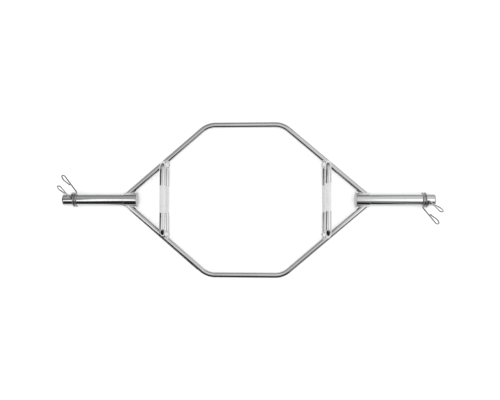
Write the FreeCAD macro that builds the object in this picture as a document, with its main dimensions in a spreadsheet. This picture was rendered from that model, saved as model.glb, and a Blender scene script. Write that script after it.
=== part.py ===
"""Hex trap bar with low and raised handles, two load sleeves and a pair of spring collars.

Millimetres. +X runs along the sleeves to the right, +Y to the rear and +Z up. The origin is on the floor
under the middle of the bar, which stands on the rims of its two hub caps.
"""

import FreeCAD
import Part
import math
import os
import Sketcher
from FreeCAD import Placement, Rotation, Vector

LENGTHS = {
    # the welded frame, measured between the centre lines of its rods
    "overall_length": 1500.0,
    "hex_depth": 608.0,
    "flat_length": 304.0,
    "apex_offset": 10.0,
    "rod_diameter": 24.0,
    "frame_bend_radius": 85.0,
    # the handles
    "handle_spacing": 640.0,
    "raised_height": 95.0,
    "raised_leg_inset": 20.7,
    "raised_bend_radius": 26.0,
    # the load sleeves and the plugs in their outer ends
    "sleeve_diameter": 50.0,
    "sleeve_wall": 4.0,
    "spigot_wall": 2.0,
    "spigot_length": 28.0,
    "plug_land": 2.0,
    "plug_rounding": 5.0,
    "plug_spigot_length": 12.0,
    # the hubs that the diagonals are welded to, and their caps
    "hub_standoff": 122.5,
    "hub_length": 53.5,
    "hub_step": 2.0,
    "hub_chamfer": 0.8,
    "cap_lip": 4.2,
    "cap_rim": 2.0,
    "cap_crown": 4.0,
    "cap_spigot_length": 10.0,
    "fit_clearance": 0.1,
    # the weld beads
    "weld_leg": 3.0,
    "weld_gap": 0.1,
    # the spring collars, bent from one wire each
    "wire_diameter": 5.5,
    "coil_clearance": 0.6,
    "coil_pitch": 9.3,
    "lever_bend_radius": 7.0,
    "lever_reach": 120.0,
    "lever_overhang": 13.6,
    "loop_tip_radius": 6.5,
    "loop_back_radius": 27.0,
    "loop_gap": 0.6,
    "left_collar_inset": 40.0,
    "right_collar_inset": 30.7,
}
ANGLES = {
    # about the sleeve: zero to the side that the levers lean to, ninety at the top
    "lever_spread_angle": 17.0,
    "left_collar_angle": 50.0,
    "right_collar_angle": 52.0,
    # turned by the wire at the end of a lever's loop
    "loop_tip_angle": 150.0,
    "loop_back_angle": 47.0,
}
COIL_TURNS = 2
ARCS_PER_TURN = 4
GAP_SAMPLES = 400
TOOL_REACH_SHARE = 4
SIDES = {"left": 180.0, "right": 0.0}
SIDE_NODES = [
    "sleeve", "end_plug", "hub", "hub_cap", "hub_welds", "low_handle", "low_handle_welds", "raised_handle",
    "raised_handle_welds", "collar_coil", "collar_inner_lever", "collar_outer_lever",
]

doc = FreeCAD.newDocument("hex_trap_bar")
sheet = doc.addObject("Spreadsheet::Sheet", "Sizes")
for row, (alias, number) in enumerate({**LENGTHS, **ANGLES}.items(), start=1):
    sheet.set(f"A{row}", alias)
    sheet.set(f"B{row}", str(number))
    sheet.setAlias(f"B{row}", alias)
doc.recompute()


class Size:
    """A number together with the expression that ties it to the sheet."""

    def __init__(self, number, text):
        self.number = number
        self.text = text

    def __add__(self, other):
        return Size(self.number + other.number, f"({self.text} + {other.text})")

    def __sub__(self, other):
        return Size(self.number - other.number, f"({self.text} - {other.text})")

    def __mul__(self, other):
        other = other if isinstance(other, Size) else Size(other, str(other))
        return Size(self.number * other.number, f"({self.text} * {other.text})")

    def __truediv__(self, other):
        other = other if isinstance(other, Size) else Size(other, str(other))
        return Size(self.number / other.number, f"({self.text} / {other.text})")

    def __neg__(self):
        return Size(-self.number, f"(-{self.text})")


def size(alias):
    return Size(float(sheet.get(alias)), f"Sizes.{alias}")


ZERO = Size(0.0, "0")
ROD = size("rod_diameter") / 2
SLEEVE = size("sleeve_diameter") / 2
BORE = SLEEVE - size("sleeve_wall")
HUB = SLEEVE + size("hub_step")
HUB_BORE = BORE + size("spigot_wall") + size("fit_clearance")
CAP = HUB + size("cap_lip")
AXIS_HEIGHT = CAP
SLEEVE_END = size("overall_length") / 2
HANDLE = size("handle_spacing") / 2
HUB_INNER = HANDLE + size("hub_standoff")
HUB_OUTER = HUB_INNER + size("hub_length")
# the point where the centre lines of two diagonals meet, and how steeply these run to the corners
APEX = HUB_OUTER + size("apex_offset")
DIAGONAL_RISE = size("hex_depth") / 2 / (APEX - size("flat_length") / 2)
DIAGONAL_ANGLE = f"atan({DIAGONAL_RISE.text})"
HANDLE_END = (APEX - HANDLE) * DIAGONAL_RISE
LEG = HANDLE_END - size("raised_leg_inset")
WELD_OVER_ROD = ROD + size("weld_leg")
ROD_CLEAR = ROD + size("weld_gap")


def place(piece, turn=0.0, x=ZERO, z=AXIS_HEIGHT):
    """Turns a piece about the middle of the bar and lifts it to the height of the sleeves' axis."""
    piece.Placement = Placement(Vector(), Rotation(Vector(0, 0, 1), turn))
    piece.setExpression(".Placement.Base.x", x.text)
    piece.setExpression(".Placement.Base.z", z.text)
    return piece


def sketch_in(body, role, name):
    """An empty sketch on one of the body's own origin planes."""
    sketch = body.newObject("Sketcher::SketchObject", name)
    sketch.AttachmentSupport = (origin_plane(body, role), [""])
    sketch.MapMode = "FlatFace"
    return sketch


def origin_plane(body, role):
    return next(feature for feature in body.Origin.OriginFeatures if feature.Role == role)


def bind(sketch, kind, references, target):
    """Adds a dimension to a sketch and ties it to a size."""
    index = sketch.addConstraint(Sketcher.Constraint(kind, *references, target.number))
    sketch.setExpression(f"Constraints[{index}]", target.text)


def pin_point(sketch, shape, end, point):
    """Holds one end of a sketch line at two sizes from the sketch's origin."""
    for kind, axis, target in zip(("DistanceX", "DistanceY"), (-2, -1), point):
        if target is ZERO:
            sketch.addConstraint(Sketcher.Constraint("PointOnObject", shape, end, axis))
        else:
            bind(sketch, kind, (-1, 1, shape, end), target)


def flat(point):
    return Vector(point[0].number, point[1].number, 0)


def bent_rod(label, planes, height, corner, bend, end, centre):
    """A round rod that leaves its middle level, turns down at a corner and is mirrored to its other half.

    The path and the mirror lie on the two planes. The corner is where the straight runs would meet.
    """
    path_role, mirror_role = planes
    body = doc.addObject("PartDesign::Body", f"{label}_blank")
    path = sketch_in(body, path_role, f"{label}_path")
    corner_point = flat((corner, height))
    run = flat(end) - corner_point
    turn = math.atan2(-run.y, run.x)
    setback = bend.number * math.tan(turn / 2)
    first = corner_point - Vector(setback, 0, 0)
    second = corner_point + run.normalize() * setback
    circle = Part.Circle(first - Vector(0, bend.number, 0), Vector(0, 0, 1), bend.number)
    level, arc, slope = path.addGeometry([
        Part.LineSegment(flat((ZERO, height)), first),
        Part.ArcOfCircle(circle, math.pi / 2 - turn, math.pi / 2),
        Part.LineSegment(second, flat(end)),
    ])
    mark = path.addGeometry(Part.Point(corner_point), True)
    path.addConstraint(Sketcher.Constraint("Horizontal", level))
    path.addConstraint(Sketcher.Constraint("Tangent", level, 2, arc, 2))
    path.addConstraint(Sketcher.Constraint("Tangent", arc, 1, slope, 1))
    path.addConstraint(Sketcher.Constraint("PointOnObject", mark, 1, level))
    path.addConstraint(Sketcher.Constraint("PointOnObject", mark, 1, slope))
    bind(path, "DistanceX", (-1, 1, mark, 1), corner)
    bind(path, "Radius", (arc,), bend)
    pin_point(path, level, 1, (ZERO, height))
    pin_point(path, slope, 2, end)
    section = sketch_in(body, mirror_role, f"{label}_section")
    ring = section.addGeometry(Part.Circle(flat(centre), Vector(0, 0, 1), ROD.number))
    bind(section, "Radius", (ring,), ROD)
    pin_point(section, ring, 3, centre)
    sweep = body.newObject("PartDesign::AdditivePipe", f"{label}_sweep")
    sweep.Profile = section
    sweep.Spine = (path, ["Edge1", "Edge2", "Edge3"])
    mirror = body.newObject("PartDesign::Mirrored", f"{label}_mirror")
    mirror.Originals = [sweep]
    mirror.MirrorPlane = (origin_plane(body, mirror_role), [""])
    body.Tip = mirror
    return body


def turned(label, turn, outline, arcs):
    """A piece turned about the sleeves' axis from an outline of axial and radial sizes.

    An arc runs from the outline's point of that number to the next. Its radius is given, or nothing where its
    centre is on the axis.
    """
    body = doc.addObject("PartDesign::Body", label)
    sketch = sketch_in(body, "XZ_Plane", f"{label}_outline")
    ends = []
    for number, point in enumerate(outline):
        start, end = flat(point), flat(outline[(number + 1) % len(outline)])
        if number not in arcs:
            sketch.addGeometry(Part.LineSegment(start, end))
            ends.append((1, 2))
            continue
        chord = end - start
        across = Vector(-chord.y, chord.x, 0)
        if arcs[number]:
            radius = arcs[number].number
            centre = (start + end) / 2 - across / 2
        else:
            radius = (chord.x ** 2 + start.y ** 2) / (2 * abs(chord.x))
            centre = end + Vector(radius, 0, 0)
        angles = [math.atan2((tip - centre).y, (tip - centre).x) for tip in (start, end)]
        clockwise = angles[0] > angles[1]
        circle = Part.Circle(centre, Vector(0, 0, 1), radius)
        sketch.addGeometry(Part.ArcOfCircle(circle, min(angles), max(angles)))
        ends.append((2, 1) if clockwise else (1, 2))
    for number, point in enumerate(outline):
        following = (number + 1) % len(outline)
        join = (number, ends[number][1], following, ends[following][0])
        sketch.addConstraint(Sketcher.Constraint("Coincident", *join))
        pin_point(sketch, number, ends[number][0], point)
    for number, radius in arcs.items():
        if radius:
            bind(sketch, "Radius", (number,), radius)
        else:
            sketch.addConstraint(Sketcher.Constraint("PointOnObject", number, 3, -1))
    lathe = body.newObject("PartDesign::Revolution", f"{label}_turning")
    lathe.Profile = sketch
    lathe.ReferenceAxis = (sketch, ["H_Axis"])
    lathe.Angle = 360
    body.Tip = lathe
    return place(body, turn)


def cylinder(name, radius, length, start, heading):
    """A cylinder lying level, from a start on the bar's own level towards a heading from +X."""
    piece = doc.addObject("Part::Cylinder", name)
    piece.setExpression("Radius", radius.text)
    piece.setExpression("Height", length.text)
    spot = f"create(<<vector>>; {start[0].text}; {start[1].text}; 0)"
    aim = f"create(<<rotation>>; {heading}; 90 deg; 0 deg)"
    piece.setExpression("Placement", f"create(<<placement>>; {spot}; {aim})")
    return piece


def post(name, radius, length, start):
    """An upright cylinder from a start on the bar's own level."""
    piece = doc.addObject("Part::Cylinder", name)
    piece.setExpression("Radius", radius.text)
    piece.setExpression("Height", length.text)
    piece.setExpression(".Placement.Base.x", start[0].text)
    piece.setExpression(".Placement.Base.y", start[1].text)
    return piece


def block(name, sides, corner, heading):
    """A box from one of its lower corners, with its first side towards a heading from +X."""
    piece = doc.addObject("Part::Box", name)
    for dimension, side in zip(("Length", "Width", "Height"), sides):
        piece.setExpression(dimension, side.text)
    spot = "; ".join(offset.text for offset in corner)
    aim = f"create(<<rotation>>; {heading}; 0 deg; 0 deg)"
    piece.setExpression("Placement", f"create(<<placement>>; create(<<vector>>; {spot}); {aim})")
    return piece


def combine(kind, label, first, *others):
    """Cuts the other pieces from the first, or keeps what it has in common with each of them."""
    for number, other in enumerate(others, start=1):
        last = number == len(others)
        piece = doc.addObject(f"Part::{kind}", label if last else f"{label}_{kind}_{number}")
        piece.Base = first
        piece.Tool = other
        first = piece
    return first


def both_beads(label, turn, bead):
    """A weld bead and its mirror image at the front, as one node of two solids."""
    other = doc.addObject("Part::Mirroring", f"{label}_other")
    other.Source = bead
    other.Normal = Vector(0, 1, 0)
    pair = doc.addObject("Part::Compound", label)
    pair.Links = [bead, other]
    return place(pair, turn)


class WirePath:
    """The centre line of a bent wire, laid down run by run; its left is the side that it bends to."""

    def __init__(self, point, heading, left):
        self.point = point
        self.heading = heading
        self.left = left
        self.edges = []

    def run(self, length):
        end = self.point + self.heading * length
        self.edges.append(Part.makeLine(self.point, end))
        self.point = end

    def bend(self, radius, degrees):
        """Bends the wire to its left."""
        centre = self.point + self.left * radius
        angle = math.radians(degrees)
        middle, end = (
            centre + self.heading * (radius * math.sin(part)) - self.left * (radius * math.cos(part))
            for part in (angle / 2, angle)
        )
        self.edges.append(Part.Arc(self.point, middle, end).toShape())
        self.point = end
        heading = self.heading * math.cos(angle) + self.left * math.sin(angle)
        self.left = self.left * math.cos(angle) - self.heading * math.sin(angle)
        self.heading = heading


def tube(edges, start, heading):
    """A round wire along a path of edges."""
    radius = size("wire_diameter").number / 2
    section = Part.Wire(Part.makeCircle(radius, start, heading))
    return Part.Wire(edges).makePipeShell([section], True, False)


def biarc(start, start_way, end, end_way):
    """Two arcs that meet smoothly and leave and reach the ends along the ways given."""
    chord = end - start
    ways = start_way + end_way
    slack = 2 * (1 - start_way.dot(end_way))
    along = chord.dot(ways)
    arm = (math.sqrt(along ** 2 + slack * chord.dot(chord)) - along) / slack
    first, second = start + start_way * arm, end - end_way * arm
    join = (first + second) / 2
    return [arc_through(start, first, join), arc_through(join, second, end)]


def arc_through(start, corner, end):
    """The arc from a start to an end that are equally far from the corner of its tangents."""
    half_chord = (end - start).Length / 2
    foot = (start + end) / 2
    rise = (corner - foot).Length
    arm = math.hypot(half_chord, rise)
    middle = foot + (corner - foot) * (half_chord / (arm + half_chord))
    return Part.Arc(start, middle, end).toShape()


def feature(label, shape, turn):
    piece = doc.addObject("Part::Feature", label)
    piece.Shape = shape
    return place(piece, turn)


def spring_collar(side, turn):
    """A torsion spring that grips the sleeve, with a bent lever at each end of its coil."""
    wire = size("wire_diameter").number
    pitch = size("coil_pitch").number
    radius = SLEEVE.number + size("coil_clearance").number + wire / 2
    spread = size("lever_spread_angle").number
    middle_angle = size(f"{side}_collar_angle").number
    outer_end = SLEEVE_END.number - size(f"{side}_collar_inset").number
    tip = outer_end + size("lever_overhang").number
    first_angle = middle_angle - spread / 2
    sweep = spread + COIL_TURNS * 360
    count = math.ceil(sweep / 360 * ARCS_PER_TURN)

    def station(share):
        """A point of the coil's centre line with its heading and its outward direction."""
        angle = math.radians(first_angle + sweep * share)
        outward = Vector(0, -math.cos(angle), math.sin(angle))
        heading = Vector(pitch / (2 * math.pi), radius * math.sin(angle), radius * math.cos(angle))
        point = Vector(outer_end - pitch * sweep / 360 * (1 - share), 0, 0) + outward * radius
        return point, heading.normalize(), outward

    stations = [station(number / count) for number in range(count + 1)]
    start, start_way, start_outward = stations[0]
    end, end_way, end_outward = stations[-1]
    tail, nose = start - start_way * wire, end + end_way * wire
    edges = [Part.makeLine(tail, start)]
    for (point, way, _), (next_point, next_way, _) in zip(stations, stations[1:]):
        edges += biarc(point, way, next_point, next_way)
    edges.append(Part.makeLine(end, nose))
    feature(f"{side}_collar_coil", tube(edges, tail, start_way), turn)

    fine = [station(number / GAP_SAMPLES)[0] for number in range(GAP_SAMPLES + 1)]
    step = int(GAP_SAMPLES * 180 / sweep)
    gap = min((a - b).Length for number, a in enumerate(fine) for b in fine[number + step:]) - wire
    print(f"{side} collar: {COIL_TURNS} turns and {spread} degrees, least gap between turns {gap:.2f} mm")

    for name, point, heading, outward in (
        ("inner", tail, -start_way, start_outward),
        ("outer", nose, end_way, end_outward),
    ):
        climb = size("lever_reach").number - wire / 2 - radius
        lean = outward * climb + Vector(tip - point.x, 0, 0)
        lean = lean - heading * lean.dot(heading)
        path = WirePath(point, heading, Vector(lean).normalize())
        tip_radius, back_radius = size("loop_tip_radius").number, size("loop_back_radius").number
        tip_turn, back_turn = size("loop_tip_angle").number, size("loop_back_angle").number
        path.bend(size("lever_bend_radius").number, 90)
        # the loop lies along the sleeve, so that its flat side meets the hand that squeezes the levers
        path.left = Vector(1, 0, 0) - path.heading * path.heading.x
        path.left.normalize()
        lever_line, side_way = path.point, path.left
        path.run(lean.Length - size("lever_bend_radius").number - tip_radius)
        path.bend(tip_radius, tip_turn)
        path.bend(back_radius, back_turn)
        spare = (path.point - lever_line).dot(side_way) - wire - size("loop_gap").number
        path.run(spare / -path.heading.dot(side_way))
        feature(f"{side}_collar_{name}_lever", tube(path.edges, point, heading), turn)


def frame_rods():
    end = (APEX, ZERO)
    depth = size("hex_depth") / 2
    flat_half = size("flat_length") / 2
    span = APEX * 2 + ROD * TOOL_REACH_SHARE
    for label, turn in (("rear_frame_rod", 0.0), ("front_frame_rod", 180.0)):
        blank = bent_rod(label, ("XY_Plane", "YZ_Plane"), depth, flat_half, size("frame_bend_radius"), end,
                         (depth, ZERO))
        cope = cylinder(f"{label}_cope", HUB + size("weld_gap"), span, (-span / 2, ZERO), "0 deg")
        place(combine("Cut", label, blank, cope), turn)


def sleeve_parts(side, turn):
    spigot = BORE + size("spigot_wall")
    spigot_end = HUB_OUTER - size("spigot_length")
    plug_face = SLEEVE_END - size("plug_land") - size("plug_rounding")
    turned(f"{side}_sleeve", turn, [
        (spigot_end, BORE), (spigot_end, spigot), (HUB_OUTER, spigot),
        (HUB_OUTER, SLEEVE), (plug_face, SLEEVE), (plug_face, BORE),
    ], {})
    snug = BORE - size("fit_clearance")
    plug_end = plug_face - size("plug_spigot_length")
    turned(f"{side}_end_plug", turn, [
        (plug_end, ZERO), (plug_end, snug), (plug_face, snug), (plug_face, SLEEVE),
        (plug_face + size("plug_land"), SLEEVE), (SLEEVE_END, SLEEVE - size("plug_rounding")),
        (SLEEVE_END, ZERO),
    ], {4: size("plug_rounding")})
    turned(f"{side}_hub", turn, [
        (HUB_INNER, HUB_BORE), (HUB_INNER, HUB), (HUB_OUTER - size("hub_chamfer"), HUB),
        (HUB_OUTER, HUB - size("hub_chamfer")), (HUB_OUTER, HUB_BORE),
    ], {})
    cap_end = HUB_INNER + size("cap_spigot_length")
    cap_seat = HUB_BORE - size("fit_clearance")
    rim = HUB_INNER - size("cap_rim")
    turned(f"{side}_hub_cap", turn, [
        (cap_end, ZERO), (cap_end, cap_seat), (HUB_INNER, cap_seat), (HUB_INNER, CAP), (rim, CAP),
        (rim - size("cap_crown"), ZERO),
    ], {4: None})


def handle_parts(side, turn):
    rear_way = f"180 deg - {DIAGONAL_ANGLE}"
    front_way = f"180 deg + {DIAGONAL_ANGLE}"
    apex = (APEX, ZERO)
    diagonal_length = APEX
    rear_clear = cylinder(f"{side}_rear_clear", ROD_CLEAR, diagonal_length, apex, rear_way)
    front_clear = cylinder(f"{side}_front_clear", ROD_CLEAR, diagonal_length, apex, front_way)
    rear_over = cylinder(f"{side}_rear_over", WELD_OVER_ROD, diagonal_length, apex, rear_way)

    low_length, low_start = HANDLE_END * 2, (HANDLE, -HANDLE_END)
    low = cylinder(f"{side}_low_blank", ROD, low_length, low_start, "90 deg")
    place(combine("Cut", f"{side}_low_handle", low, rear_clear, front_clear), turn)
    low_clear = cylinder(f"{side}_low_clear", ROD_CLEAR, low_length, low_start, "90 deg")
    low_over = cylinder(f"{side}_low_over", WELD_OVER_ROD, HANDLE_END, (HANDLE, ZERO), "90 deg")

    raised = bent_rod(f"{side}_raised_handle", ("YZ_Plane", "XZ_Plane"), size("raised_height"), LEG,
                      size("raised_bend_radius"), (LEG, ZERO), (ZERO, size("raised_height")))
    place(raised, 0.0, HANDLE, ZERO)
    place(combine("Cut", f"{side}_raised_handle", raised, low_clear, rear_clear, front_clear), turn)

    hub_span = size("hub_length")
    hub_over = cylinder(f"{side}_hub_over", HUB + size("weld_leg"), hub_span, (HUB_INNER, ZERO), "0 deg")
    hub_clear = cylinder(f"{side}_hub_clear", HUB + size("weld_gap"), hub_span, (HUB_INNER, ZERO), "0 deg")
    shared = combine("Common", f"{side}_hub_bead_over", rear_over, hub_over)
    bead = combine("Cut", f"{side}_hub_bead", shared, rear_clear, hub_clear)
    both_beads(f"{side}_hub_welds", turn, bead)

    reach = ROD * TOOL_REACH_SHARE
    near_height = ROD * 2 - size("weld_leg")
    near = block(f"{side}_near", (diagonal_length, reach, near_height), (APEX, ZERO, -ROD), rear_way)
    shared = combine("Common", f"{side}_low_bead_over", low_over, rear_over, near)
    leg_clear = post(f"{side}_leg_clear", ROD_CLEAR, reach, (HANDLE, LEG))
    bead = combine("Cut", f"{side}_low_bead", shared, rear_clear, low_clear, leg_clear)
    both_beads(f"{side}_low_handle_welds", turn, bead)

    leg_over = post(f"{side}_leg_over", WELD_OVER_ROD, reach, (HANDLE, LEG))
    above = block(f"{side}_above", (ROD * 2, reach * 2, reach), (HANDLE - ROD, LEG - reach, ZERO), "0 deg")
    around_low = cylinder(f"{side}_around_low", WELD_OVER_ROD, low_length, low_start, "90 deg")
    past_weld = WELD_OVER_ROD + size("weld_gap")
    weld_clear = cylinder(f"{side}_weld_clear", past_weld, diagonal_length, apex, rear_way)
    shared = combine("Common", f"{side}_raised_bead_over", leg_over, around_low, above)
    bead = combine("Cut", f"{side}_raised_bead", shared, leg_clear, low_clear, weld_clear)
    both_beads(f"{side}_raised_handle_welds", turn, bead)


def main():
    frame_rods()
    for side, turn in SIDES.items():
        sleeve_parts(side, turn)
        handle_parts(side, turn)
        spring_collar(side, turn)
    doc.recompute()
    for piece in doc.Objects:
        if "Invalid" in piece.State or "Error" in piece.State:
            raise RuntimeError(f"{piece.Label} did not recompute: {piece.State}")
    os.makedirs("parts", exist_ok=True)
    nodes = ["rear_frame_rod", "front_frame_rod"]
    nodes += [f"{side}_{name}" for side in SIDES for name in SIDE_NODES]
    for label in nodes:
        shape = doc.getObject(label).Shape
        if shape.isNull() or not shape.isValid():
            raise RuntimeError(f"{label} has no valid shape")
        shape.exportStep(f"parts/{label}.step")
        print(f"{label}: {len(shape.Solids)} solids, {shape.Volume:.0f} mm3")


main()
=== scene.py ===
"""Looks of a chromed hex trap bar: plated rods, knurled grips, load sleeves, weld beads and spring collars.

Every piece is made by one operator of the sidebar panel, in metres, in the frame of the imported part.
"""

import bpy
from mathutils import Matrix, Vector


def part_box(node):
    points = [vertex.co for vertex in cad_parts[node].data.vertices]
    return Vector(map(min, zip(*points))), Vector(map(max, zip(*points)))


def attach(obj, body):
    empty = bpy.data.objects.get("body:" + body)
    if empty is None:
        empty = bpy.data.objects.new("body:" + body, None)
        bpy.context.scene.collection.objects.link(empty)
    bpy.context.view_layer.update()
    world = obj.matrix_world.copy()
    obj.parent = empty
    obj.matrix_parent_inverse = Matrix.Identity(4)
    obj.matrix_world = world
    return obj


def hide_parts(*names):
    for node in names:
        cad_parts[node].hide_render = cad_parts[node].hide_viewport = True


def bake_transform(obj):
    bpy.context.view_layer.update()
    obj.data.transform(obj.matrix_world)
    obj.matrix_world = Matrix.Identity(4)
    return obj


bl_info = {
    "name": "Hex trap bar",
    "version": (1, 0, 0),
    "blender": (4, 5, 0),
    "location": "3D View > Sidebar > Trap bar",
    "description": "Builds the plated pieces of a hex trap bar and its studio",
    "category": "Object",
}

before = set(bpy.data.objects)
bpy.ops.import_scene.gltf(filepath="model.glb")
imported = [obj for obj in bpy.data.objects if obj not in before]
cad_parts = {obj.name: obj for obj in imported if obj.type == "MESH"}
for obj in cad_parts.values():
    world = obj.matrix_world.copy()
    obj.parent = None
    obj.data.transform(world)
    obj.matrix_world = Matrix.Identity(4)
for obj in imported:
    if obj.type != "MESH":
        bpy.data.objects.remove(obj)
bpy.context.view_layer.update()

import math

import bmesh
import bpy
import numpy as np
from bpy.props import FloatProperty, FloatVectorProperty, IntProperty, PointerProperty
from bpy.types import Operator, Panel, PropertyGroup

SIDES = ("left", "right")
HUB_INNER, HUB_OUTER = (round(corner.x, 5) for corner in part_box("right_hub"))
SLEEVE_END = round(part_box("right_end_plug")[1].x, 5)
PLUG_FACE = round(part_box("right_sleeve")[1].x, 5)
SPIGOT_END = round(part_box("right_sleeve")[0].x, 5)
COIL_TURNS = 2
# how finely the shapes are divided: metres along a run, degrees along a bend or a coil, counts elsewhere
STATION = 0.025
BEND_STEP = 3.0
COIL_STEP = 4.5
ROD_SIDES = 64
WIRE_SIDES = 24
TURNED_SIDES = 128
CORNER_STEPS = 7
CROWN_STEPS = 14
SEAM_POINTS = 96
RIPPLE_SEGMENTS = 10
RIPPLE_RINGS = 6
# roundings and gaps of the turned pieces in metres, how far the guard lines of a rounding stand off as a
# share of it, and where the crown of a cap starts as a share of its radius
EDGE_ROUNDING = 0.0002
RIM_ROUNDING = 0.0005
SNUG_GAP = 0.0001
ROUNDING_GUARD = 0.4
CROWN_START = 0.94
# the knurl: way down to its root in depths, what its points sink into the root, and their flat tops
KNURL_RAMP = 8
KNURL_SINK = 0.9975
KNURL_TIP = 0.08
# the weld beads: length of a ripple in pitches, how uneven they are, and the seed of that
RIPPLE_LENGTH = 0.95
RIPPLE_UNEVENNESS = 0.18
RIPPLE_SEED = 11
# the blunt end of a wire: its length in diameters, how far it narrows, and where its rings lie
BLUNT_LENGTH = 0.12
BLUNT_TIP = 0.45
BLUNT_PARTS = (0.3, 0.55, 0.75, 0.9, 1.0)
# height of the polishing lines and the grain in metres
BUMP_HEIGHT = 0.0002
# the studio in metres, and the camera's sensor in millimetres
FLOOR_REACH = 12.0
FLOOR_LEVEL = -0.0005
FLOOR_MOTTLE = 0.985
LAMP_SIZE = (3.4, 2.4)
LAMP_PLACE = (0.0, -0.2, 3.0)
SENSOR_WIDTH = 36.0
DOME_ROWS = 18
DOME_COLUMNS = 72
DOME_SEAM = 20.0
# corners of the dark card, as distances along the left front diagonal from its apex and out from it
CARD_CORNERS = ((0.04, 0.015), (0.04, 0.25), (0.42, 0.25), (0.42, 0.015))
CARD_TONE = (0.10, 0.10, 0.10, 1.0)
# patches of the reflected room: bearings from the right end towards the rear, heights, grey and softness,
# all angles in degrees, later patches over earlier ones
REFLECTIONS = (
    ((95, 185), (-30, 86), 0.57, 22),  # dim wall, rear to left
    ((20, 75), (-20, 24), 0.45, 12),  # low wall, right rear
    ((50, 130), (-20, 52), 0.40, 14),  # rear wall
    ((60, 150), (-12, 26), 0.25, 10),  # its darker foot
    ((45, 165), (-14, 13), 0.04, 8),  # dark line along the rear
    ((190, 335), (30, 80), 0.42, 16),  # upper wall at the front
    ((158, 202), (-14, 58), 0.05, 10),  # dark left end
    ((205, 312), (-4, 62), 0.03, 8),  # dark front
    ((304, 340), (-16, 44), 0.18, 8),  # dim right front
    ((332, 378), (40, 65), 1.90, 6),  # window high on the right
    ((164, 214), (49, 65), 1.85, 5),  # window high on the left, in three panes
    ((183, 214), (40, 60), 1.85, 5),
    ((188, 224), (54, 68), 1.85, 6),
)


def length(name, description, default):
    """A size in metres."""
    return FloatProperty(name=name, description=description, default=default, unit="LENGTH", precision=5)


def degrees(name, description, default):
    """An angle that is given in degrees."""
    return FloatProperty(name=name, description=description, default=math.radians(default), subtype="ANGLE")


def share(name, description, default):
    """A number from nothing to one."""
    return FloatProperty(name=name, description=description, default=default, min=0, max=1, subtype="FACTOR")


def colour(name, description, default):
    """A plain colour."""
    return FloatVectorProperty(name=name, description=description, default=default, size=3, min=0, max=1,
                               subtype="COLOR")


class TRAPBAR_BarSizes(PropertyGroup):
    """Sizes of the welded bar"""

    axis_height: length("Axis height", "Height of the sleeves' axis above the floor", 0.0312)
    rod_diameter: length("Rod diameter", "Thickness of the frame rods and of the handles", 0.024)
    hex_depth: length("Hexagon depth", "Between the centre lines of the two level runs", 0.608)
    flat_length: length("Level run", "Between the corners of a frame rod's centre line", 0.304)
    apex_offset: length("Apex offset", "How far past the hub the centre lines of the diagonals meet", 0.010)
    frame_bend: length("Frame bend", "Radius of the bends of the frame rods", 0.085)
    rod_tuck: length("Rod tuck", "How far from the apex a diagonal ends inside its hub", 0.0255)
    handle_offset: length("Handle offset", "From the middle of the bar to a handle", 0.320)
    raised_height: length("Raised height", "From a low handle up to the raised one", 0.095)
    leg_inset: length("Leg inset", "From the end of a low handle to the leg of the raised one", 0.0207)
    raised_bend: length("Raised bend", "Radius of the bends of a raised handle", 0.026)
    grip_length: length("Grip length", "Length of the knurled band of a handle", 0.108)
    low_grip_shift: length("Low grip shift", "How far to the rear the right low grip lies", 0.0036)
    raised_grip_shift: length("Raised grip shift", "How far to the rear the right raised grip lies", 0.0075)
    knurl_depth: length("Knurl depth", "Depth that the knurl is cut to", 0.0003)
    knurl_around: IntProperty(name="Knurl count", description="Diamonds around a grip", default=44, min=8)
    sleeve_radius: length("Sleeve radius", "Outer radius of a load sleeve", 0.025)
    sleeve_bore: length("Sleeve bore", "Inner radius of a load sleeve", 0.021)
    spigot_radius: length("Spigot radius", "Outer radius of a sleeve inside its hub", 0.023)
    plug_rounding: length("Plug rounding", "Radius on the rim of an end plug", 0.005)
    plug_depth: length("Plug depth", "How deep an end plug sits in its sleeve", 0.012)
    hub_radius: length("Hub radius", "Outer radius of a hub", 0.027)
    hub_bore: length("Hub bore", "Inner radius of a hub", 0.0231)
    hub_chamfer: length("Hub chamfer", "Bevel on the outer end of a hub", 0.0008)
    cap_radius: length("Cap radius", "Radius of the disc on the inner end of a hub", 0.0312)
    cap_rim: length("Cap rim", "Thickness of a hub cap at its edge", 0.002)
    cap_crown: length("Cap crown", "How far the middle of a hub cap stands proud", 0.004)
    cap_depth: length("Cap depth", "How deep a hub cap sits in its hub", 0.010)
    weld_stand: length("Weld stand", "From the two joined surfaces to the middle of a weld bead", 0.0009)
    weld_radius: length("Weld radius", "Half the width of a weld bead", 0.0021)
    weld_pitch: length("Weld pitch", "From one ripple of a weld bead to the next", 0.0016)


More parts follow.
